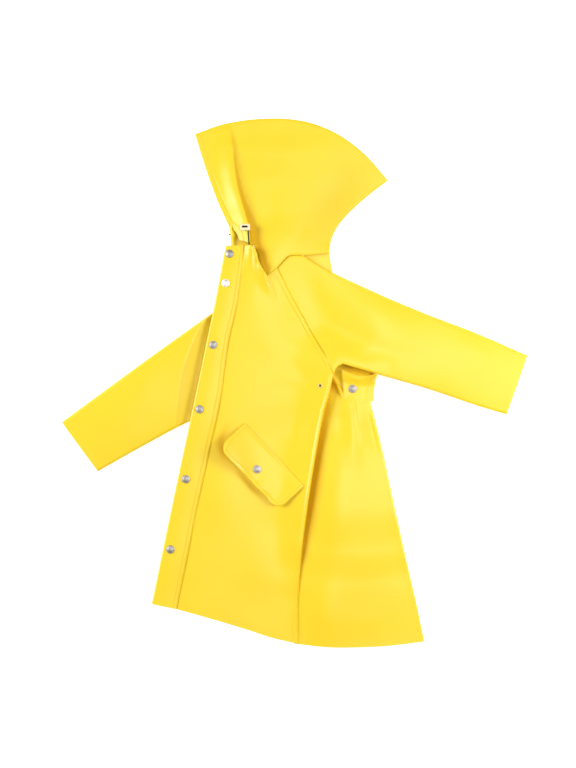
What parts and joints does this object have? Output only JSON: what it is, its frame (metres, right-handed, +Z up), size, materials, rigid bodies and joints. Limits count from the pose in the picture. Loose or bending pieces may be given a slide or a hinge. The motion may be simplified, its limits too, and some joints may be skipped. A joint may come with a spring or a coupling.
{
  "type": "kids raincoat",
  "caption": "Child's hooded raincoat in coated cloth with snap placket, raglan sleeves, pocket flap and half belt, laid out flat on its side.",
  "frame": {"origin": "centre of the laid-out coat's bounding box, on the surface it lies on", "axes": "+Y from the hem to the hood, +Z up off the surface, +X towards the visible left sleeve's cuff"},
  "size_m": [0.7442, 0.845, 0.0233],
  "materials": {
    "shell_cloth": "polyurethane-coated knit, satin, bright yellow",
    "placket_cloth": "the same coated cloth folded double and topstitched",
    "snap_caps": "nickel-plated, domed and smooth",
    "eyelet": "nickel-plated, rolled rim",
    "toggle": "cream moulded plastic",
    "cord": "dark round elastic cord"
  },
  "bodies": {
    "root": {"back": "shell_cloth", "drawcord_left": "cord", "drawcord_right": "cord", "front_left": "shell_cloth", "front_right": "shell_cloth", "half_belt": "shell_cloth", "hood_left": "shell_cloth", "hood_right": "shell_cloth", "placket": "placket_cloth", "pocket_flap": "shell_cloth", "sleeve_left": "shell_cloth", "sleeve_right": "shell_cloth", "snap_1": "snap_caps", "snap_2": "snap_caps", "snap_3": "snap_caps", "snap_4": "snap_caps", "snap_5": "snap_caps", "snap_6": "snap_caps", "snap_belt": "snap_caps", "snap_pocket": "snap_caps", "toggle": "toggle", "vent_eyelet": "eyelet"}
  },
  "joints": []
}
